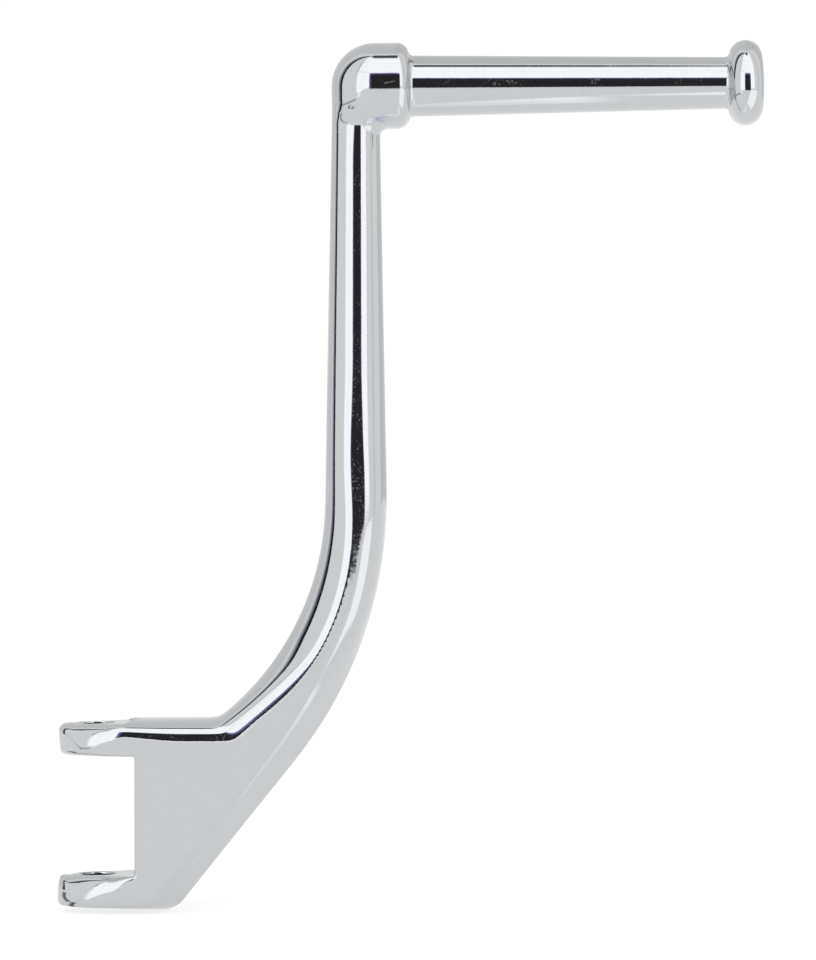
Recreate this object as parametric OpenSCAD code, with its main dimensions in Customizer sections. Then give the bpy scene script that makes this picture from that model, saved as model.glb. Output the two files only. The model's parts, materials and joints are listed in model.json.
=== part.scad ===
// Fold-out kickstart lever: a one-piece chromed forging.
// A forked clevis with a cross bore leads through a triangular web into a tapering arm,
// and a ball elbow at the arm's top carries the peg for the foot.
// The origin is the middle of the bore. Z runs along the bore, and X points along the peg.

/* [Pivot clevis] */
// Diameter of the cross bore through both ears
bore_d = 10.2; // [8:0.1:12]
// Width of the chamfer at each outer mouth of the bore
bore_chamfer = 0.3; // [0.1:0.1:0.8]
// Radius of the ears' round ends, which is also half the depth of the web
lug_r = 11; // [9.5:0.25:13]
// Space between the two ears
gap_h = 32.6; // [26:0.2:36]
// Thickness of each ear
ear_t = 8.8; // [6.5:0.1:9.5]
// Distance from the bore's axis to the floor of the gap
gap_depth = 10.4; // [8:0.1:14]
// Radius in the two inner corners of the gap
gap_corner_r = 0.6; // [0.3:0.1:2]
// Edge radius round the outer rim of each ear
ear_outer_r = 2.6; // [1:0.1:4]
// Edge radius round the inner rim of each ear
ear_inner_r = 1.4; // [0.4:0.1:2]
// Radius of the machined seat round each end of the bore
seat_r = 11.2; // [11.1:0.05:12]

/* [Web] */
// Height of the rough edges of the web above the machined seats
web_rise = 1.1; // [0.6:0.1:2.5]
// Angle of the web's free edge from the vertical
web_slope = 38.6; // [34:0.2:42]
// Radius of the web's lower corner
web_corner_r = 7; // [3:0.25:8]
// Draft of the forged edges on each side of the parting line
draft = 10; // [5:0.5:14]
// Slope of the wide bevel down the web's free edge
bevel = 28; // [16:1:32]
// Radius of the forged edges
edge_r = 1.5; // [0.8:0.1:2.5]
// Radius of the soft roll between the flat face and the forged edges
roll_r = 9; // [6:0.5:11]

/* [Arm] */
// Distance from the bore's axis to the centre line of the arm
arm_x = 70.4; // [66:0.2:75]
// Width of the arm at the elbow
arm_top_w = 12.7; // [11:0.1:15]
// Depth of the arm at the elbow
arm_top_d = 13.8; // [11:0.1:16]
// Width of the arm where its bend begins
arm_low_w = 16.8; // [15:0.1:19]
// Height at which the bend begins
bend_z = 85.5; // [78:0.5:92]
// Radius of the inner edge of the bend
bend_in_r = 75; // [72:1:90]
// Radius of the outer edge of the bend
bend_out_r = 113; // [105:1:120]

/* [Elbow and peg] */
// Height of the ball's centre above the middle of the gap
peg_z = 198; // [170:1:225]
// Angle by which the peg rises towards its head
peg_rise = 0.6; // [0:0.1:3]
// Radius of the ball elbow and its collar
ball_r = 11.8; // [10.8:0.1:13]
// Length of the collar from the centre of the ball to its end
collar_l = 9.3; // [6:0.1:14]
// Edge radius at the end of the collar
collar_edge_r = 2.5; // [1:0.1:2.8]
// Radius of the peg at the collar
peg_root_r = 8.3; // [7.4:0.1:8.8]
// Radius of the peg at its head
peg_tip_r = 7; // [6:0.1:7.3]
// Length of the bare peg between the collar and the head
peg_l = 86.5; // [70:0.5:110]
// Radius of the fillets at both ends of the peg
peg_fillet_r = 1.1; // [0.5:0.1:1.3]
// Radius of the head
head_r = 11.6; // [10.4:0.1:13]
// Thickness of the head
head_t = 9.9; // [8.8:0.1:12]
// Bulge of the head's end face
head_dome = 0.9; // [0.4:0.1:1.6]

/* [Hidden] */
$fn = 96;

steel = [0.82, 0.83, 0.84];
// Length by which a cutter passes the face it opens
over = 2;

ear_top = gap_h / 2 + ear_t;
web_top = ear_top + web_rise;

// The forging starts behind the seats, so that each seat's cutter clears its square end.
blank_share = 0.45;
blank_x = blank_share * lug_r;
// Each ear runs this far short of the gap's rounded corner, inside the web.
ear_short = 0.4;
ear_reach = gap_depth - gap_corner_r - ear_short;

// Centres of the two arcs of the bend, and the angle at which each ends
in_c = [arm_x - arm_low_w / 2 - bend_in_r, bend_z];
out_c = [arm_x + arm_low_w / 2 - bend_out_r, bend_z];
in_end = asin((bend_z - web_top) / bend_in_r);
// Where the web's sloping edge leaves the bend, and where it would meet the bottom edge
slope_start = on_arc(out_c, bend_out_r, web_slope);
slope_end = [slope_start[0] - (slope_start[1] + web_top) * tan(web_slope), -web_top];

// The ball's outer side stands this far outside the arm's.
ball_proud = 0.25;
ball_x = arm_x - arm_top_w / 2 + ball_r - ball_proud;

// Angles of the surface at which each section has a point on the soft roll, from the face outwards
rolling = [3, 7, 12, 17, 22];
roll_end = 22;
// Points on the tight edge beyond the roll, the last of which starts the forged wall
edge_points = 4;
// How far the arm's section has turned from an ellipse into the web's where the bend begins
low_square = 0.3;
// Share of the arm's height over which its taper in depth sets in
taper_start = 0.15;

straight_steps = 12;
bend_steps = 18;
slope_steps = 4;
corner_steps = 6;
edge_steps = 3;

function mix(a, b, t) = a + (b - a) * t;
// All the surface angles of one side of a section whose wall has the given slope
function facing(slope) =
    concat(rolling, [for (i = [1:edge_points]) mix(roll_end, 90 - slope, i / edge_points)], [90]);
function ease(t) = t * t * (3 - 2 * t);
// A point on an arc whose angle is counted downwards from the right
function on_arc(c, r, a) = c + r * [cos(a), -sin(a)];
// Points of an arc, for the turned profiles
function arc(c, r, a0, a1, n) = [for (i = [0:n]) c + r * [cos(mix(a0, a1, i / n)), sin(mix(a0, a1, i / n))]];

// An oval of half width w and half depth d, at the surface angle a: [across, towards the viewer]
function oval_at(w, d, a) =
    let (k = sqrt(pow(w * sin(a), 2) + pow(d * cos(a), 2)))
    [w * w * sin(a) / k, d * d * cos(a) / k];

// One side of the web's section at the surface angle a, for half width w and half depth d.
// The flat face rolls into the tight edge, and a sloping wall leads on to the parting line.
function roll_at(a, slope) =
    let (b = min(a, roll_end), c = max(min(a, 90 - slope), roll_end))
    [roll_r * sin(b) + edge_r * (sin(c) - sin(roll_end)),
     roll_r * (1 - cos(b)) + edge_r * (cos(roll_end) - cos(c))];
function web_at(w, d, a, slope) =
    let (
        p = roll_at(a, slope),
        q = roll_at(90, slope),
        run = q[0] + (d - q[1]) * tan(slope)
    )
    a >= 90 ? [w, 0] : [w - run + p[0], d - p[1]];

// Half the depth at the height z: the web's own, then an even taper up to the elbow
function depth_at(z) =
    let (t = max(z - web_top, 0) / (peg_z - web_top), k = taper_start)
    mix(lug_r, arm_top_d / 2, (norm([t, k]) - k) / (norm([1, k]) - k));

// One side of a section, turned s of the way from an oval to the web's form
function side_of(w, d, s, slope) =
    [for (a = facing(slope)) mix(oval_at(w, d, a), web_at(w, d, a, slope), s)];

// A closed section between the points l and r of the outline, whose wall at r has the slope given
function ring(l, r, s, slope) =
    let (
        w = norm(r - l) / 2,
        d = depth_at((l[1] + r[1]) / 2),
        c = (l + r) / 2,
        u = (r - l) / norm(r - l),
        right = side_of(w, d, s, slope),
        left = side_of(w, d, s, draft),
        last = len(right) - 1,
        loop = concat(
            [for (i = [0:last]) [right[i][0], -right[i][1]]],
            [for (i = [last - 1:-1:0]) right[i]],
            [for (i = [0:last]) [-left[i][0], left[i][1]]],
            [for (i = [last - 1:-1:0]) -left[i]]
        )
    )
    [for (p = loop) [c[0] + u[0] * p[0], p[1], c[1] + u[1] * p[0]]];

// Sections down the straight arm
function arm_rings() = [for (i = [0:straight_steps - 1])
    let (t = i / straight_steps, w = mix(arm_top_w, arm_low_w, t) / 2, z = mix(peg_z, bend_z, t))
    ring([arm_x - w, z], [arm_x + w, z], low_square * t, draft)];

// Sections round the bend, each from a point of its inner edge to one of its outer edge
function bend_rings() = [for (i = [0:bend_steps])
    let (t = i / bend_steps)
    ring(
        on_arc(in_c, bend_in_r, t * in_end), on_arc(out_c, bend_out_r, t * web_slope),
        mix(low_square, 1, ease(t)), mix(draft, bevel, ease(t))
    )];

// The outer outline of the web with the slope of its wall at each point, as [point, slope]:
// down the bevelled edge, round the corner, then along the bottom edge
function web_outer() =
    let (
        turn = 90 - web_slope,
        tangent = web_corner_r * tan(turn / 2),
        first = slope_end + tangent * [sin(web_slope), cos(web_slope)],
        c = slope_end + [-tangent, web_corner_r]
    )
    concat(
        [for (i = [1:slope_steps]) [mix(slope_start, first, i / slope_steps), bevel]],
        [for (i = [1:corner_steps])
            let (t = i / corner_steps)
            [on_arc(c, web_corner_r, web_slope + turn * t), mix(bevel, draft, t)]],
        [for (i = [1:edge_steps])
            [mix([c[0], -web_top], [blank_x, -web_top], i / edge_steps), draft]]
    );

function web_rings() =
    let (outer = web_outer(), n = len(outer), inner = on_arc(in_c, bend_in_r, in_end))
    [for (i = [0:n - 1])
        ring(mix(inner, [blank_x, web_top], (i + 1) / n), outer[i][0], 1, outer[i][1])];

// The arm and the web: one skin over all the sections
module forging() {
    rings = concat(arm_rings(), bend_rings(), web_rings());
    n = len(rings[0]);
    m = len(rings);
    sides = [for (j = [0:m - 2], i = [0:n - 1])
        let (a = j * n + i, b = j * n + (i + 1) % n)
        each [[a, b, b + n], [a, b + n, a + n]]];
    ends = [[for (i = [n - 1:-1:0]) i], [for (i = [0:n - 1]) (m - 1) * n + i]];
    polyhedron([for (r = rings) each r], concat(sides, ends), convexity = 6);
}

// The space between the ears, open to the front, to the back and at the round end
module gap() {
    reach = lug_r + over;
    translate([0, reach, 0])
        rotate([90, 0, 0])
            linear_extrude(2 * reach) {
                translate([-reach, -gap_h / 2])
                    square([reach + gap_depth - gap_corner_r, gap_h]);
                translate([0, gap_corner_r - gap_h / 2])
                    square([gap_depth, gap_h - 2 * gap_corner_r]);
                for (side = [-1, 1])
                    translate([gap_depth - gap_corner_r, side * (gap_h / 2 - gap_corner_r)])
                        circle(gap_corner_r);
            }
}

// Half the cross-section of an ear: the inner face at y = 0 and the outer face at y = ear_t
module ear_half() {
    polygon(concat(
        [[0, 0]],
        arc([lug_r - ear_inner_r, ear_inner_r], ear_inner_r, -90, 0, 5),
        arc([lug_r - ear_outer_r, ear_t - ear_outer_r], ear_outer_r, 0, 90, 8),
        [[0, ear_t]]
    ));
}

module ear() {
    translate([0, 0, gap_h / 2]) {
        rotate([0, 0, 90])
            rotate_extrude(angle = 180)
                ear_half();
        rotate([90, 0, 90])
            linear_extrude(ear_reach) {
                ear_half();
                mirror([1, 0])
                    ear_half();
            }
    }
}

// The ball elbow, its collar, the tapered peg and the round head, turned about the rising axis
module peg() {
    collar_end = collar_l;
    tip = collar_l + peg_l;
    rim_r = (head_t - head_dome) / 2;
    translate([ball_x, 0, peg_z])
        rotate([0, 90 - peg_rise, 0])
            rotate_extrude()
                polygon(concat(
                    arc([0, 0], ball_r, -90, 0, 12),
                    arc([ball_r - collar_edge_r, collar_end - collar_edge_r], collar_edge_r, 0, 90, 6),
                    arc([peg_root_r + peg_fillet_r, collar_end + peg_fillet_r], peg_fillet_r, 270, 180, 4),
                    arc([peg_tip_r + peg_fillet_r, tip - peg_fillet_r], peg_fillet_r, 180, 90, 4),
                    arc([head_r - rim_r, tip + rim_r], rim_r, -90, 90, 12),
                    [[(head_r - rim_r) / 2, tip + head_t - head_dome / 4], [0, tip + head_t]]
                ));
}

// The machined seat and the bore's mouth on one ear
module seat() {
    translate([0, 0, ear_top])
        cylinder(r = seat_r, h = web_rise + over);
    translate([0, 0, ear_top - bore_chamfer])
        cylinder(r1 = bore_d / 2, r2 = bore_d / 2 + bore_chamfer + over, h = bore_chamfer + over);
}

module lever() {
    color(steel)
        difference() {
            union() {
                difference() {
                    forging();
                    gap();
                }
                ear();
                mirror([0, 0, 1])
                    ear();
                peg();
            }
            cylinder(d = bore_d, h = 2 * ear_top + 2 * over, center = true);
            seat();
            mirror([0, 0, 1])
                seat();
        }
}

lever();
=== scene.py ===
# %% [markdown]
# # A chromed kickstart lever
# The lever is one forging with bright chrome plate all over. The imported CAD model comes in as
# a fixed frame, which gives the true sizes. A skin with hand-finished edges is then laid over
# it, because forged and polished steel has rolled edges and soft fillets a plain solid lacks.

# %% Load the frame
import json
import math

import bpy
import numpy as np
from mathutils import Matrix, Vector


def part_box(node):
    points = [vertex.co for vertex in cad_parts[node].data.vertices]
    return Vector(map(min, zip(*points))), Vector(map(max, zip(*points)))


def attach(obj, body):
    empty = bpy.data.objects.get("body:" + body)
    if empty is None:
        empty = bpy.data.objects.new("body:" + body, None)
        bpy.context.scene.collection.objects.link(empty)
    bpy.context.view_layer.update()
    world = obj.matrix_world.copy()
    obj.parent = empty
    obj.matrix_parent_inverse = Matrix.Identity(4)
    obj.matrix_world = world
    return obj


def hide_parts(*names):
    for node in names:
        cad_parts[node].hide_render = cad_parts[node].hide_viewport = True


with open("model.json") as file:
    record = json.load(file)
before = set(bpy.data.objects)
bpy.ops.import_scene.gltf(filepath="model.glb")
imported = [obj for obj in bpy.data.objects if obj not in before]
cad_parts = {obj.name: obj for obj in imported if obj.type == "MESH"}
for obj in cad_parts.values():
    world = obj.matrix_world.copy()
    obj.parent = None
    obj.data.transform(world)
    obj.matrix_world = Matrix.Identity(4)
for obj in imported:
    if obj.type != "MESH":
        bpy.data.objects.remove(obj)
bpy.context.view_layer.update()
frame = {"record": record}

# %% [markdown]
# ## Sizes from the record
# The forging is worked out in millimetres, as its drawing would be. The mounts of the record
# give the bore, the seats, the gap and the line of the peg, so the skin can't drift from them.

# %% Read the mounts
MM = 1000
mounts = {m["name"]: m for m in frame["record"]["mounts"]}
lowest, highest = (np.array(corner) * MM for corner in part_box("lever"))
bore_r = mounts["pivot_bore"]["dims"]["r_mm"]
gap_z = mounts["upper_gap_face"]["pos_m"][2] * MM
seat_z = mounts["upper_seat"]["pos_m"][2] * MM
web_z = -lowest[2]
nose_r = -lowest[0]
ball_r = highest[1]
ARM_X = 70.4
ARM_TOP, ARM_LOW = 12.7, 16.8
ball_x = ARM_X - ARM_TOP / 2 + ball_r - 0.25
peg_x, _, peg_z = (v * MM for v in mounts["peg"]["pos_m"])
peg_rise = math.asin(mounts["peg"]["axis"][2])
ball_z = peg_z - (peg_x - ball_x) * math.tan(peg_rise)
print(f"bore {bore_r}, gap {gap_z}, seats {seat_z}, web {web_z:.2f}, nose {nose_r:.2f}, ball {ball_r:.2f}")
print(f"ball at x {ball_x:.2f}, z {ball_z:.2f}, and the peg rises {math.degrees(peg_rise):.2f} degrees")

# %% [markdown]
# ## The camera
# The photograph was taken a little above the clevis, from about a metre and a half. A long lens
# at that distance shows the mouths of the bore as thin ellipses and keeps the outline true.

# %% Place the camera
VIEW_HEIGHT = 0.2615
CAMERA_X, CAMERA_Y, CAMERA_Z = 0.0846, -1.5, 0.131
TARGET_Z = 0.091
SENSOR = 36
camera = bpy.data.objects.new("camera", bpy.data.cameras.new("camera"))
bpy.context.scene.collection.objects.link(camera)
camera.location = (CAMERA_X, CAMERA_Y, CAMERA_Z)
target = Vector((CAMERA_X, 0, TARGET_Z))
camera.rotation_euler = (target - camera.location).to_track_quat("-Z", "Y").to_euler()
camera.data.sensor_width = SENSOR
camera.data.lens = SENSOR * (target - camera.location).length / VIEW_HEIGHT
camera.data.clip_end = 20
bpy.context.scene.camera = camera
bpy.context.scene.view_settings.view_transform = "Standard"
print(f"lens {camera.data.lens:.0f} mm at {(target - camera.location).length:.3f} m")

# %% [markdown]
# ## Shader maths as plain Python
# A node tree is hard to read when every sum is a node placed by hand. This small class wraps
# a socket, so that an expression such as 1 - mask adds its own Math nodes.


# %% A socket that can be calculated with
class Value:
    def __init__(self, tree, socket=None):
        self.tree = tree
        self.socket = socket

    def node(self, kind, settings, inputs, output=0):
        made = self.tree.nodes.new(kind)
        for name, setting in settings.items():
            setattr(made, name, setting)
        for key, value in inputs.items():
            if isinstance(value, Value):
                self.tree.links.new(value.socket, made.inputs[key])
            else:
                made.inputs[key].default_value = value
        return Value(self.tree, made.outputs[output] if made.outputs else None)

    def other(self, output):
        """Another output of the same node."""
        return Value(self.tree, self.socket.node.outputs[output])

    def math(self, operation, *terms):
        return self.node("ShaderNodeMath", {"operation": operation}, dict(enumerate(terms)))

    def __add__(self, term):
        return self.math("ADD", self, term)

    def __sub__(self, term):
        return self.math("SUBTRACT", self, term)

    def __rsub__(self, term):
        return self.math("SUBTRACT", term, self)

    def __mul__(self, term):
        return self.math("MULTIPLY", self, term)

    __radd__ = __add__
    __rmul__ = __mul__

    def rise(self, low, high):
        """0 below low and 1 above high, with a smooth rise between them."""
        return self.node(
            "ShaderNodeMapRange", {"interpolation_type": "SMOOTHSTEP"},
            {"Value": self, "From Min": low, "From Max": high},
        )

    def band(self, start, end, soft):
        """1 between start and end, and 0 outside, with soft borders."""
        return self.rise(start - soft, start + soft) * (1 - self.rise(end - soft, end + soft))

    def mix(self, a, b):
        """The colour a where this value is 0, and b where it is 1."""
        return self.node("ShaderNodeMix", {"data_type": "RGBA"}, {0: self, 6: a, 7: b}, 2)


def empty_tree(owner):
    owner.use_nodes = True
    owner.node_tree.nodes.clear()
    return Value(owner.node_tree)


print("shader maths is ready")

# %% [markdown]
# ## The studio
# Chrome shows nothing but what stands round it, so the studio is half of the finish. It is a
# plain white room with one broad brighter panel in front, drawn by direction in the world,
# where it costs no noise. Directions are written as azimuth, which is 0 in front of the lever
# and grows to the right, and elevation above the horizon. A second pair of angles leans
# forward a little, because the photographed lines run over the top in front of the zenith.

# %% Directions in the room
LEAN = math.radians(9)
world = bpy.data.worlds.new("studio")
bpy.context.scene.world = world
sky = empty_tree(world)
direction = sky.node("ShaderNodeTexCoord", {}, {})
across = sky.node("ShaderNodeSeparateXYZ", {}, {"Vector": direction})
deep, high = across.other(1), across.other(2)
azimuth = sky.math("ARCTAN2", across, deep * -1) * math.degrees(1)
elevation = sky.math("ARCSINE", high) * math.degrees(1)
leaning_deep = deep * math.cos(LEAN) + high * math.sin(LEAN)
leaning_high = high * math.cos(LEAN) - deep * math.sin(LEAN)
leaning_azimuth = sky.math("ARCTAN2", across, leaning_deep * -1) * math.degrees(1)
overhead = sky.math("ARCSINE", leaning_high) * math.degrees(1)
print("directions lean by", round(math.degrees(LEAN)), "degrees")

# %% [markdown]
# ## The panel and the dark slits
# The bright panel gives the white areas, and its faint streaks are the seams of its cloth. The
# thin dark lines on the polished rims come from dark slits: one to the left, a faint one to
# the right, a small cap overhead where the panel ends, and the frame at the panel's left side.

# %% The panel, its streaks and the slits
PANEL_LEFT, PANEL_RIGHT = -50, 53
PANEL_STRENGTH = 1.55
PANEL_SINK = 8
low_edge = -PANEL_SINK * (1 - azimuth.rise(-20, -14))
panel = azimuth.band(PANEL_LEFT, PANEL_RIGHT, 3) * (elevation - low_edge).rise(-2, 2)
panel = panel * (1 - overhead.rise(81, 84))
level_streaks = elevation.band(47, 49, 1) + elevation.band(58, 60, 1)
upright_streaks = azimuth.band(-37, -34, 1.5) + azimuth.band(-28, -26, 1.5)
lower_streak = elevation.band(32.5, 34.5, 0.5) * azimuth.band(PANEL_LEFT, -14, 1)
streaks = (level_streaks + upright_streaks) * 0.1 + lower_streak * 0.3
left_slit = leaning_azimuth.rise(-119, -101) * (1 - leaning_azimuth.rise(-99, -96))
slits = sky.math("MAXIMUM", left_slit, azimuth.band(78, 88, 4) * 0.12)
slits = sky.math("MAXIMUM", slits, overhead.rise(84.5, 86.5) * 0.9)
panel_frame = azimuth.band(PANEL_LEFT - 4, PANEL_LEFT - 1, 1) * elevation.band(32, 60, 4)
slits = sky.math("MAXIMUM", slits, panel_frame * 0.5)
print("panel from", PANEL_LEFT, "to", PANEL_RIGHT, "degrees")

# %% [markdown]
# ## The room's light
# The camera itself sees plain white. Only what the lever reflects and is lit by gets the
# pattern, and the wall behind the lever is a little darker in reflections.

# %% The room's shader
camera_ray = sky.node("ShaderNodeLightPath", {}, {})
glossy_ray = camera_ray.other("Is Glossy Ray")
behind = 1 - (1 - azimuth.rise(-125, -112)) * 0.2 - azimuth.rise(112, 125) * 0.25
pattern = 1 + glossy_ray * (behind - 1) + panel * (PANEL_STRENGTH - 1 - streaks)
strength = camera_ray + (1 - camera_ray) * pattern * (1 - slits)
tint = (slits * (1 - camera_ray)).mix((1, 1, 1, 1), (0.75, 0.78, 1, 1))
glow = sky.node("ShaderNodeBackground", {}, {"Color": tint, "Strength": strength})
sky.node("ShaderNodeOutputWorld", {}, {"Surface": glow})
print("world nodes:", len(sky.tree.nodes))

# %% [markdown]
# ## The floor
# The pale floor is partly lit by the room and partly glows by itself. The glow keeps it as
# white as the photograph's ground, and the lit part keeps the shadow. A brighter patch to the
# front right gives the light line along the web's bevel and the crescents on ball and head.
# Reflections also see darker places, the edges of the paper: they carry the left slit's thin
# line on below the horizon, round the noses of the two ears.

# %% A sheet of the set
def sheet(name, corners, material):
    mesh = bpy.data.meshes.new(name)
    mesh.from_pydata(corners, [], [range(len(corners))])
    mesh.materials.append(material)
    made = bpy.data.objects.new(name, mesh)
    bpy.context.scene.collection.objects.link(made)
    return made


# %% Places on the floor
FLOOR_HALF = 3
FLOOR_GAP = 0.0004
ARM_FOOT = 0.066
floor_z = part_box("lever")[0][2] - FLOOR_GAP
pale = bpy.data.materials.new("pale_floor")
ground = empty_tree(pale)
spot = ground.node("ShaderNodeTexCoord", {}, {}, "Object")
floor_x = ground.node("ShaderNodeSeparateXYZ", {}, {"Vector": spot})
floor_y = floor_x.other(1)
aside = ground.math("ARCTAN2", floor_x - ARM_FOOT, floor_y * -1) * math.degrees(1)
away = ground.node("ShaderNodeVectorMath", {"operation": "LENGTH"}, {0: spot}, 1)
print("floor at", round(floor_z, 4))

# %% The bright patch and the dark places
under_peg = floor_x.rise(0.14, 0.165) * (1 - away.rise(0.24, 0.3))
sunny = aside.band(24, 72, 4) * (0.2 + 0.45 * away.rise(0.1, 0.22)) * (1 - under_peg)
sunny = sunny + aside.band(-45, -33, 3) * away.rise(0.9, 1.2) * 0.55
far_seam = aside.rise(-119, -101) * (1 - aside.rise(-99, -96)) * away.rise(0.5, 0.6)
nose_place = {0: spot, 1: (-0.008, 0, 0)}
from_nose = ground.node("ShaderNodeVectorMath", {"operation": "DISTANCE"}, nose_place, 1)
by_nose = ground.math("ARCTAN2", floor_x + 0.003, floor_y * -1) * math.degrees(1)
by_nose = by_nose - 60 * (1 - from_nose.rise(0.018, 0.055))
near_seam = by_nose.rise(-112, -98) * (1 - by_nose.rise(-90, -86)) * (1 - from_nose.rise(0.085, 0.1))
paper_edge = aside.band(-95, -48, 2) * away.band(0.75, 1.05, 0.08)
seam = ground.math("MAXIMUM", far_seam, near_seam * 0.85)
seam = ground.math("MAXIMUM", seam, paper_edge * 0.65)
print("floor nodes so far:", len(ground.tree.nodes))

# %% The pale floor
PAPER = (0.96, 0.96, 0.96, 1)
LIT_SHARE = 0.3
seen = ground.node("ShaderNodeLightPath", {}, {})
seam = seam * seen.other("Is Glossy Ray")
matt = ground.node("ShaderNodeBsdfDiffuse", {}, {"Color": PAPER})
shine_strength = (1.0 + seen * 0.1 + sunny) * (1 - seam)
shine = ground.node("ShaderNodeEmission", {}, {"Color": PAPER, "Strength": shine_strength})
floor_mix = ground.node("ShaderNodeMixShader", {}, {0: LIT_SHARE * (1 - seam), 1: shine, 2: matt})
ground.node("ShaderNodeOutputMaterial", {}, {"Surface": floor_mix})
unit_corners = ((-1, -1), (1, -1), (1, 1), (-1, 1))
floor_corners = [(x * FLOOR_HALF, y * FLOOR_HALF, floor_z) for x, y in unit_corners]
sheet("floor", floor_corners, pale)
print("floor is", 2 * FLOOR_HALF, "m wide")

# %% [markdown]
# ## The black card
# The long black reflection down the arm and along the peg is a black card beside the camera.
# It stands close to the lever, so its reflection moves as the surface turns, which a pattern
# painted on the far sky couldn't do. Its borders are violet, as the black turns on the chrome,
# and its lower border is soft. The camera doesn't see the card.

# %% Hang the card
CARD_Y = -1.4
CARD_LEFT, CARD_RIGHT = -0.305, 0.796
CARD_LOW, CARD_HIGH = -0.026, 1.073
VIOLET_EDGE = 0.14
VIOLET, BLACK = (0.33, 0.3, 0.6, 1), (0.03, 0.027, 0.03, 1)
card_corners = [
    (CARD_LEFT, CARD_Y, CARD_LOW), (CARD_RIGHT, CARD_Y, CARD_LOW),
    (CARD_RIGHT, CARD_Y, CARD_HIGH), (CARD_LEFT, CARD_Y, CARD_HIGH),
]
card_black = bpy.data.materials.new("black_card")
felt = empty_tree(card_black)
card_place = felt.node("ShaderNodeTexCoord", {}, {}, "Object")
card_x = felt.node("ShaderNodeSeparateXYZ", {}, {"Vector": card_place})
card_z = card_x.other(2)
inward = felt.math("MINIMUM", card_x - CARD_LEFT, CARD_RIGHT - card_x)
inward = felt.math("MINIMUM", inward, CARD_HIGH - card_z)
felt_color = inward.rise(0.2 * VIOLET_EDGE, VIOLET_EDGE).mix(VIOLET, BLACK)
felt_glow = felt.node("ShaderNodeEmission", {}, {"Color": felt_color})
open_air = felt.node("ShaderNodeBsdfTransparent", {}, {})
cover = 0.8 * card_z.rise(0.06, 0.085) + 0.2 * card_z.rise(CARD_LOW, 0.07)
card_mix = felt.node("ShaderNodeMixShader", {}, {0: cover, 1: open_air, 2: felt_glow})
felt.node("ShaderNodeOutputMaterial", {}, {"Surface": card_mix})
card = sheet("black_card", card_corners, card_black)
card.visible_camera = False
card.visible_diffuse = False
card.visible_shadow = False
print("card from", CARD_LOW, "to", CARD_HIGH, "m high")

# %% [markdown]
# ## The forging as a field
# The skin is described by one function of space: the distance to the surface, negative inside.
# Fields are a natural way to draw a forging, because two of them can be joined with a fillet
# or cut with a rounded edge of any radius, and no seam is left between them.


# %% Joining and cutting with radii
def both(a, b, r):
    """The space that is inside a and inside b, with its edge rounded by r."""
    return np.minimum(-r, np.maximum(a, b)) + np.hypot(np.maximum(a + r, 0), np.maximum(b + r, 0))


def either(a, b, r):
    """The space that is inside a or inside b, with a fillet of radius r between them."""
    return -both(-a, -b, r)


def blend(a, b, share):
    return a + (b - a) * share


def ease(value, low, high):
    share = np.clip((value - low) / (high - low), 0, 1)
    return share * share * (3 - 2 * share)


print("both(0, 0, 1) =", round(float(both(0.0, 0.0, 1.0)), 3))

# %% [markdown]
# ## The outline of arm and web
# Seen from the side, each edge of the arm is a straight taper that runs into one big arc. The
# outer arc then runs off into the web's slope, and the inner one ends on the web's level top.
# Holding an arc's angle between two limits turns it into its own tangent line beyond them.

# %% Edges of the arm
BEND_Z = 85.5
IN_R, OUT_R = 75, 113
SLOPE = math.radians(38.6)
TAPER = math.atan((ARM_LOW - ARM_TOP) / 2 / (ball_z - BEND_Z))
SOFT_TURN = math.radians(2.5)


def soft_clip(angle, low, high):
    """Holds an angle between two limits, and eases into each of them."""
    risen = low + SOFT_TURN * np.logaddexp(0, (angle - low) / SOFT_TURN)
    return high - SOFT_TURN * np.logaddexp(0, (high - risen) / SOFT_TURN)


def curved_edge(x, z, centre_x, radius, start, end):
    right = x - centre_x
    down = BEND_Z - z
    angle = soft_clip(np.arctan2(down, right), start, end)
    return right * np.cos(angle) + down * np.sin(angle) - radius


def arm_edges(x, z):
    """Distances past the outer and the inner edge, negative inside the steel."""
    outer = curved_edge(x, z, ARM_X + ARM_LOW / 2 - OUT_R, OUT_R, -TAPER, SLOPE)
    inner = -curved_edge(x, z, ARM_X - ARM_LOW / 2 - IN_R, IN_R, TAPER, math.radians(60))
    return outer, inner


print("arm edges at mid height:", [round(float(v), 2) for v in arm_edges(np.array(70.0), np.array(140.0))])

# %% [markdown]
# ## Cross sections
# High up, the arm is an oval. Low down it is a bar with a flat face that rolls away towards
# its edges, softly on the inside of the bend and over a wide bevel on the outside. One formula
# covers all of it: a superellipse that only bends within a given distance from each edge.

# %% The crowned section
ARM_TOP_DEPTH = 6.9
TAPER_START = 0.15


def half_depth(z):
    share = np.maximum(z - web_z, 0) / (ball_z - web_z)
    start = math.hypot(1, TAPER_START) - TAPER_START
    return blend(nose_r, ARM_TOP_DEPTH, (np.hypot(share, TAPER_START) - TAPER_START) / start)


def crowned(left, right, y, depth, left_roll, right_roll, power):
    """A section whose depth falls away towards each edge, over that edge's own roll."""
    at_left = np.maximum(1 + left / left_roll, 0)
    at_right = np.maximum(1 + right / right_roll, 0)
    tall = np.abs(y) / depth
    size = (at_left ** power + at_right ** power + tall ** power) ** (1 / power)
    fall = power - 1
    steep = (at_left ** fall / left_roll) ** 2 + (at_right ** fall / right_roll) ** 2
    steep = np.sqrt(steep + (tall ** fall / depth) ** 2) / np.maximum(size, 1e-3) ** fall
    return np.maximum((size - 1) / np.maximum(steep, 1e-2), -20)


print("depth of the arm at its middle:", round(float(half_depth(np.array(110.0))) * 2, 2), "mm")

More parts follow.
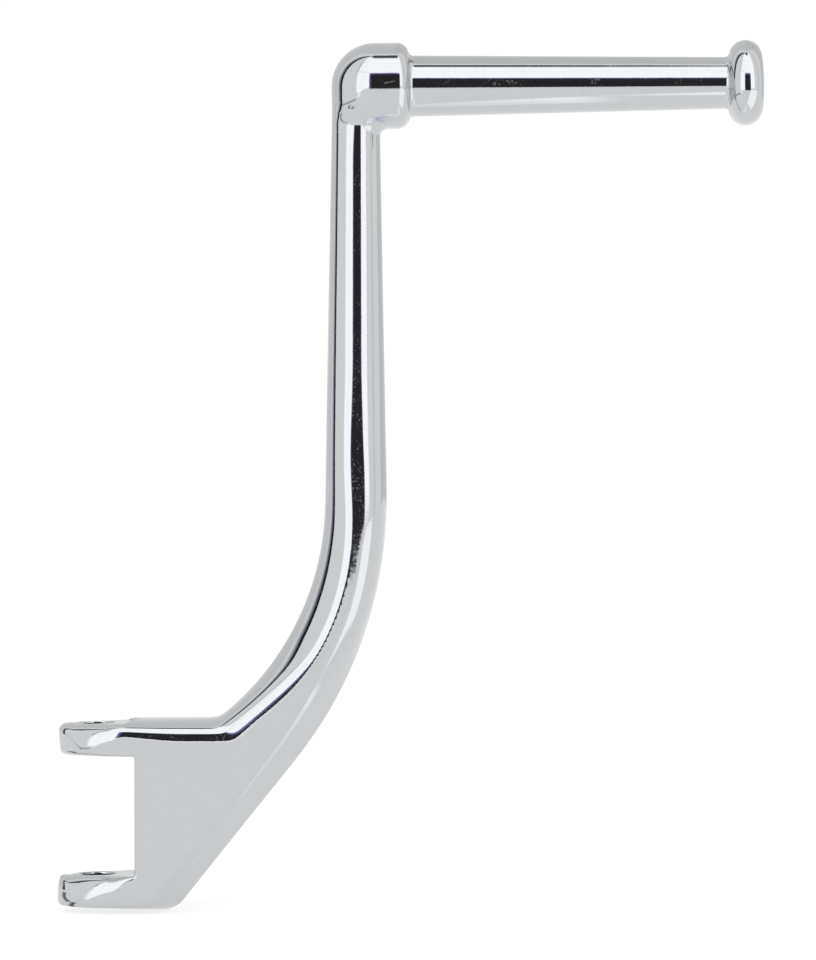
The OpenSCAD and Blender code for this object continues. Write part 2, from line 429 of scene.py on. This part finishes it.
# %% [markdown]
# ## The arm and the web
# Near the elbow the arm swells, so that its left side runs into the ball without a step. The
# web keeps the same soft inner roll, but its free edge is one wide bevel: the forging's draft,
# the slope that lets it leave its die. Arm and web are blended by height through the bend.

# %% The oval arm and the flat web
BEND_LEFT, BEND_RIGHT = 9.3, 6.4
BEND_POWER = 1.6
TOP_ROLL, TOP_POWER = 7.0, 3.0
ELBOW_ROLL, ELBOW_DEPTH = 7.5, 8.5
BEVEL = math.radians(28)
BASE_DRAFT = math.radians(7)
BEVEL_EDGE = 1.4
CORNER_R = 2.3
CORNER_SPREAD = 1.3
CREASE = 0.5


def arm_section(outer, inner, y, z):
    half_width = np.maximum(-(outer + inner) / 2, 1)
    low = ease(-z, -105, -50)
    gather = ease(z, ball_z - 22, ball_z + 2)
    flat = ease(-z, -125, -88)
    left_roll = blend(blend(half_width - flat, BEND_LEFT, low), ELBOW_ROLL, gather)
    right_roll = blend(half_width - flat, BEND_RIGHT, low)
    depth = blend(half_depth(z), ELBOW_DEPTH, ease(z, ball_z - 11, ball_z - 6))
    power = blend(2.0, BEND_POWER, low * ease(inner - outer, -3, 3))
    return crowned(inner, outer, y, depth, left_roll, right_roll, power)


def web_section(outer, inner, x, y, z):
    up = ease(z, web_z - 1, web_z + 22)
    top_roll = blend(TOP_ROLL - 2, TOP_ROLL, ease(x, 2, 24))
    left_roll = blend(top_roll, BEND_LEFT, up)
    spread = inner / blend(CORNER_SPREAD, 1, ease(z, web_z - 2, web_z + 14))
    left = -np.logaddexp(-spread / CREASE, (web_z - z) / CREASE) * CREASE
    face = crowned(left, -99.0, y, half_depth(z), left_roll, 1.0, blend(TOP_POWER, BEND_POWER, up))
    bevel = (outer + np.abs(y) * math.tan(BEVEL)) * math.cos(BEVEL)
    base = (-z - web_z + np.abs(y) * math.tan(BASE_DRAFT)) * math.cos(BASE_DRAFT)
    corner = blend(CORNER_R, 1.2, np.abs(y) / nose_r)
    return both(face, both(bevel, base, corner), BEVEL_EDGE)


def arm_and_web(x, y, z):
    outer, inner = arm_edges(x, z)
    low = ease(-z, -62, -24)
    return blend(arm_section(outer, inner, y, z), web_section(outer, inner, x, y, z), low)


print("web's bevel is", round(nose_r * math.tan(BEVEL), 1), "mm wide")

# %% [markdown]
# ## Elbow, collar, peg and head
# These are turned about the peg's axis, so two numbers are enough for each point: how far it
# is along the axis and how far out from it. The ball becomes the collar, a fillet leads on to
# the tapered peg, and the head is a fat rounded disc. Polishing by hand has left the sections
# a touch square and turned slightly upward, which the reflections of the photograph show.

# %% The turned end
BELLY, BARREL = 9.6, 2.12
COLLAR_L, COLLAR_EDGE = 9.3, 3.2
PEG_ROOT, PEG_TIP, PEG_L = 8.3, 7.0, 86.5
PEG_FILLET = 1.1
HEAD_R, HEAD_T, HEAD_RIM, HEAD_DOME = 11.594, 9.895, 4.5, 60
BELLY_INSET, BALL_INSET = 0.25, 0.006


def egg(y, up, lean, power):
    """Distance from the axis of a section that is a little square and faces slightly upward."""
    size = (np.abs(y) ** power + np.abs(up) ** power) ** (1 / power)
    return size + lean * up * y ** 2 / np.maximum(size, 1e-3) ** 2


def turned_end(x, y, z):
    along = (x - ball_x) * math.cos(peg_rise) + (z - ball_z) * math.sin(peg_rise)
    up = (z - ball_z) * math.cos(peg_rise) - (x - ball_x) * math.sin(peg_rise)
    share = (along - COLLAR_L) / PEG_L
    out = egg(y, up, blend(0.03, 0.1, np.clip(share, 0, 1)), 2.0)
    below = np.maximum(-up, 0) / BELLY
    fold = 1 + 2 * ease(ball_x - x, 2, 8)
    sag = np.maximum(up, 0) - BELLY * np.minimum(below, 9) ** fold
    tuck = 1.1 * (fold - 1) * np.minimum(below, 1) ** 2
    barrel = egg(y, sag, 0, BARREL) + 0.03 * up * y ** 2 / np.maximum(y ** 2 + up ** 2, 1e-3)
    ball = np.hypot(np.minimum(along + tuck, 0), barrel) + tuck - ball_r
    ball = ball + BELLY_INSET * np.minimum(below, 1) + BALL_INSET
    collar = both(ball, along - COLLAR_L, COLLAR_EDGE)
    shaft = np.maximum(out - blend(PEG_ROOT, PEG_TIP, share), along - COLLAR_L - PEG_L - 3)
    shaft = np.maximum(shaft, -along)
    middle = COLLAR_L + PEG_L + HEAD_T / 2
    out = egg(y, up, 0.12, 2.15)
    rim = np.hypot(np.maximum(out - HEAD_R + HEAD_RIM, 0), along - middle) - HEAD_RIM
    dome = np.hypot(out, along - middle + HEAD_DOME) - HEAD_DOME - HEAD_T / 2
    cheek = middle - HEAD_RIM - along
    disc = np.maximum(np.maximum(dome, cheek), out - HEAD_R + HEAD_RIM)
    head = np.minimum(rim, disc)
    return either(either(collar, shaft, PEG_FILLET), head, PEG_FILLET)


print("head ends at x =", round(ball_x + COLLAR_L + PEG_L + HEAD_T, 2), "mm of", round(highest[0], 2))

# %% [markdown]
# ## The clevis
# Two ears with round noses carry the bore. They were ground by hand: the top edge of each is
# rolled over widely, the lower edge more tightly, and the nose leans back a little. The web
# takes over just behind the bore, where the machined seats cut a small step into its edges.

# %% Ears, gap, seats and bore
GAP_DEPTH = 10.4
GAP_CORNER = 0.6
UNDER_RIM, MOUTH_FLOOR = 1.6, 0.6
NOSE_X = 8
UPPER_INSET, LOWER_LEAN = 0.35, 0.9
SEAT_R, SEAT_EDGE = nose_r + 0.2, 0.3
BORE_EDGE = 0.45
NECK_FILLET, NECK_MORE = 0.4, 1.8


def rolled(side, top, side_roll, top_roll, power=2.0):
    """The space inside both, with an oval edge of one width on the side and another on top."""
    u = np.maximum(1 + side / side_roll, 0)
    v = np.maximum(1 + top / top_roll, 0)
    size = (u ** power + v ** power) ** (1 / power)
    fall = power - 1
    steep = np.hypot(u ** fall / side_roll, v ** fall / top_roll) / np.maximum(size, 1e-3) ** fall
    return np.maximum((size - 1) / np.maximum(steep, 1e-2), -20)


def clevis(x, y, z, web):
    height = np.abs(z)
    back = np.minimum(x - NOSE_X, 0) / (nose_r + NOSE_X)
    side = y / nose_r
    size = np.maximum(np.hypot(back, side), 1e-3)
    nose = (size - 1) * size / np.hypot(back / (nose_r + NOSE_X), side / nose_r)
    lean = np.where(z > 0, UPPER_INSET, LOWER_LEAN * np.clip((z + 21.5) / 5.2, 0, 1) ** 2)
    nose = nose + lean * (1 - ease(x, -9, 1))
    nose = nose + 0.35 * ease(-z, -23, -17) * (1 - ease(-z, -15, -10)) * (1 - ease(x, -8, -4))
    upper_roll = 3.4 + 4.2 * ease(x, -10, -4) - 2.4 * ease(x, -3, 5)
    upper = rolled(nose, z - seat_z, np.minimum(upper_roll + 1, 7), upper_roll, 3.0)
    ears = np.where(z > 0, upper, both(nose, -z - seat_z, UNDER_RIM))
    shell = blend(ears, web, ease(x, 2.5, 9))
    gap = both(height - gap_z, x - GAP_DEPTH, GAP_CORNER)
    lower_roll = 1.6 + 7.2 * ease(x, -10.5, -5) - 3.8 * ease(x, -5, 4) - 4.0 * ease(x, 3, 10.5)
    mouth_roll = np.where(z > 0, blend(UNDER_RIM, MOUTH_FLOOR, ease(x, -4, 8)), lower_roll)
    shell = rolled(shell, -gap, np.minimum(mouth_roll, 5), mouth_roll, np.where(z > 0, 2.0, 2.6))
    radius = np.hypot(x, y)
    seat = np.maximum(seat_z - height, radius - SEAT_R)
    shell = both(shell, -seat, SEAT_EDGE)
    return both(shell, bore_r - radius, BORE_EDGE)


def lever_field(x, y, z):
    """The whole forging: millimetres to its surface, negative inside."""
    arm = np.maximum(arm_and_web(x, y, z), z - ball_z)
    arm = np.where(x < 22, clevis(x, y, z, arm), arm)
    neck = NECK_FILLET + NECK_MORE * ease(x, 66, 74) * ease(-z, 4 - ball_z, 10 - ball_z)
    return either(arm, turned_end(x, y, z), neck)


print("field at the bore's middle:", round(float(lever_field(*np.zeros((3, 1)))[0]), 2), "mm")

# %% [markdown]
# ## From field to mesh
# The field is read on a box of grid points, finer round the clevis where the edges are tight.
# Each grid cell that the surface crosses gets one point, and four cells round a crossed grid
# line make one face. This is known as surface nets, and it gives even, square faces.

# %% The grid and the net
def steps(*stops):
    """Grid lines from (start, spacing) pairs up to the last stop."""
    lines = [np.arange(a, b - spacing / 2, spacing) for (a, spacing), (b, _) in zip(stops, stops[1:])]
    return np.concatenate([*lines, [stops[-1][0]]])


grid = (
    steps((-11.9, 0.38), (16.2, 0.7), (highest[0] + 1.5, 0)),
    steps((-12.3, 0.6), (12.3, 0)),
    steps((-27.1, 0.38), (27.1, 0.76), (highest[2] - 30, 0.65), (highest[2] + 1.4, 0)),
)
field = lever_field(*np.meshgrid(*grid, indexing="ij", sparse=True))
cells = np.array(field.shape) - 1
print("grid of", field.shape, "points, of which", int((field < 0).sum()), "are in the steel")


def surface_net(field, grid):
    inside = field < 0
    owners, points, quads = [], [], []
    for axis in range(3):
        u, v = (axis + 1) % 3, (axis + 2) % 3
        near = [slice(None)] * 3
        far = [slice(None)] * 3
        near[axis], far[axis] = slice(0, -1), slice(1, None)
        near, far = tuple(near), tuple(far)
        index = np.array(np.nonzero(inside[near] != inside[far])).T
        a = field[near][tuple(index.T)]
        b = field[far][tuple(index.T)]
        point = np.stack([grid[k][index[:, k]] for k in range(3)], 1)
        line = grid[axis]
        point[:, axis] += a / (a - b) * (line[index[:, axis] + 1] - line[index[:, axis]])
        ring = []
        for du, dv in ((0, 0), (-1, 0), (-1, -1), (0, -1)):
            cell = index.copy()
            cell[:, u] += du
            cell[:, v] += dv
            ring.append(np.ravel_multi_index(cell.T, cells))
        ring = np.stack(ring, 1)
        flip = a > 0
        ring[flip] = ring[flip][:, ::-1]
        quads.append(ring)
        owners.append(ring.ravel())
        points.append(np.repeat(point, 4, 0))
    names, where = np.unique(np.concatenate(owners), return_inverse=True)
    points = np.concatenate(points)
    count = np.bincount(where)
    centre = np.stack([np.bincount(where, points[:, k]) / count for k in range(3)], 1)
    return centre, np.searchsorted(names, np.concatenate(quads))


net_points, net_quads = surface_net(field, grid)
print(len(net_points), "points and", len(net_quads), "faces")

# %% [markdown]
# ## Settling the points
# Points of a raw net lie close to the surface but not on it, which chrome would show as ripple.
# A few steps down the field's slope settle each point, and the slope itself is the true
# direction of the surface there, so it also gives the smooth normals.

# %% Slope of the field and the settled skin
SETTLING_STEPS = 5
LONGEST_MOVE = 0.3


def slope(points, reach=0.02):
    sides = []
    for axis in range(3):
        shift = np.zeros(3)
        shift[axis] = reach
        ahead = lever_field(*(points + shift).T)
        behind = lever_field(*(points - shift).T)
        sides.append((ahead - behind) / (2 * reach))
    return np.stack(sides, 1)


for _ in range(SETTLING_STEPS):
    gradient = slope(net_points)
    value = lever_field(*net_points.T)
    move = gradient * (value / np.maximum((gradient ** 2).sum(1), 0.05))[:, None]
    size = np.linalg.norm(move, axis=1, keepdims=True)
    net_points = net_points - move * np.minimum(1, LONGEST_MOVE / np.maximum(size, 1e-9))
normals = slope(net_points)
normals /= np.linalg.norm(normals, axis=1, keepdims=True)
print("furthest point from the surface:", round(float(np.abs(lever_field(*net_points.T)).max()), 4), "mm")

# %% The skin's mesh
skin_mesh = bpy.data.meshes.new("lever_skin")
skin_mesh.from_pydata((net_points / MM).tolist(), [], net_quads.tolist())
skin_mesh.shade_smooth()
skin_mesh.normals_split_custom_set_from_vertices(normals.tolist())
skin = bpy.data.objects.new("lever_skin", skin_mesh)
bpy.context.scene.collection.objects.link(skin)
print("skin:", len(skin_mesh.polygons), "faces")

# %% [markdown]
# ## Bright chrome plate
# Chrome reflects a little under two thirds of the light and is faintly cool. Hand polishing
# before the plate leaves a slight waviness that bends reflections, and a very fine grain that
# breaks their borders into specks. Both are far too shallow to model, so a Bump node adds them.
# Haze, specks and dust are faint noises for the gloss and the colour further down.

# %% The chrome material
chrome = bpy.data.materials.new("bright_chrome")
plate = empty_tree(chrome)
place = plate.node("ShaderNodeTexCoord", {}, {}, "Object")


def noise(scale, detail=2.0, roughness=0.5):
    inputs = {"Vector": place, "Scale": scale, "Detail": detail, "Roughness": roughness}
    return plate.node("ShaderNodeTexNoise", {}, inputs)


WAVE_HEIGHT, GRAIN_HEIGHT = 2.2e-5, 4.5e-6
waves = noise(110, 1.0)
grain = noise(1100, 2.0)
height = waves * WAVE_HEIGHT + grain * GRAIN_HEIGHT
polish = plate.node("ShaderNodeBump", {}, {"Strength": 1.0, "Distance": 1.0, "Height": height})
haze = noise(300, 3.0).rise(0.55, 0.8)
specks = noise(1500, 1.0).rise(0.70, 0.74)
dust = noise(1700, 2.0).rise(0.56, 0.68) * noise(160, 1.0).rise(0.5, 0.62) * 0.15
print("polish nodes:", len(plate.tree.nodes))

# %% [markdown]
# ## The marks of its age
# The photographed lever isn't quite clean: a tan stain sits in the corner of collar and peg,
# bluish specks lie under the ball, dark ones beside it, and a fine scratch crosses its front.
# Each mark is a soft sphere of influence round its own place, and the specks are also broken up by noise.


# %% Places of the marks
def near_place(centre, radius):
    """1 at a place given in millimetres and 0 beyond the radius."""
    ends = {0: place, 1: tuple(v / MM for v in centre)}
    apart = plate.node("ShaderNodeVectorMath", {"operation": "DISTANCE"}, ends, 1)
    return 1 - apart.rise(0.5 * radius / MM, radius / MM)


breakup = noise(900, 3.0).rise(0.42, 0.58)
stain = near_place((85.6, -5.6, 205.0), 1.1) * 0.85
blue_specks = near_place((77.8, -7.5, 188.9), 2.8) * breakup * 0.5
dark_specks = near_place((69.3, -9.0, 191.6), 1.5) * noise(1300, 2.0).rise(0.5, 0.6) * 0.8
print("stain and specks placed")

# %% The scratch
SCRATCH_AT = (79.6, -11.5, 198.7)
SCRATCH_RISE = 0.22
place_x = plate.node("ShaderNodeSeparateXYZ", {}, {"Vector": place})
scratch_start = SCRATCH_AT[2] - SCRATCH_RISE * SCRATCH_AT[0]
off_scratch = place_x.other(2) * MM - place_x * (SCRATCH_RISE * MM) - scratch_start
scratch = (1 - plate.math("ABSOLUTE", off_scratch).rise(0.06, 0.14)) * near_place(SCRATCH_AT, 2.1)
print("scratch rises by", SCRATCH_RISE)

# %% [markdown]
# ## Colour and gloss
# The marks are laid over the plate's own colour one after another. Dust is less metallic than
# the plate, so it only shows where the chrome reflects something black.

# %% The chrome surface
CLEAN, HAZY = (0.585, 0.60, 0.612, 1), (0.565, 0.58, 0.595, 1)
TAN, BLUISH, SOOT = (0.20, 0.17, 0.07, 1), (0.30, 0.33, 0.52, 1), (0.08, 0.07, 0.09, 1)
WARM_GRAY = (0.60, 0.50, 0.40, 1)
color = haze.mix(CLEAN, HAZY)
color = stain.mix(color, TAN)
color = blue_specks.mix(color, BLUISH)
color = dark_specks.mix(color, SOOT)
color = scratch.mix(color, WARM_GRAY)
rough = 0.035 + haze * 0.03 + specks * 0.12 + scratch * 0.3 + stain * 0.3
chrome_inputs = {"Base Color": color, "Metallic": 1 - dust, "Roughness": rough, "Normal": polish}
surface = plate.node("ShaderNodeBsdfPrincipled", {}, chrome_inputs)
plate.node("ShaderNodeOutputMaterial", {}, {"Surface": surface})
skin_mesh.materials.append(chrome)
print("chrome nodes:", len(plate.tree.nodes))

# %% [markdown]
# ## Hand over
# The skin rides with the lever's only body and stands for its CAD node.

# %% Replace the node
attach(skin, "root")
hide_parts("lever")
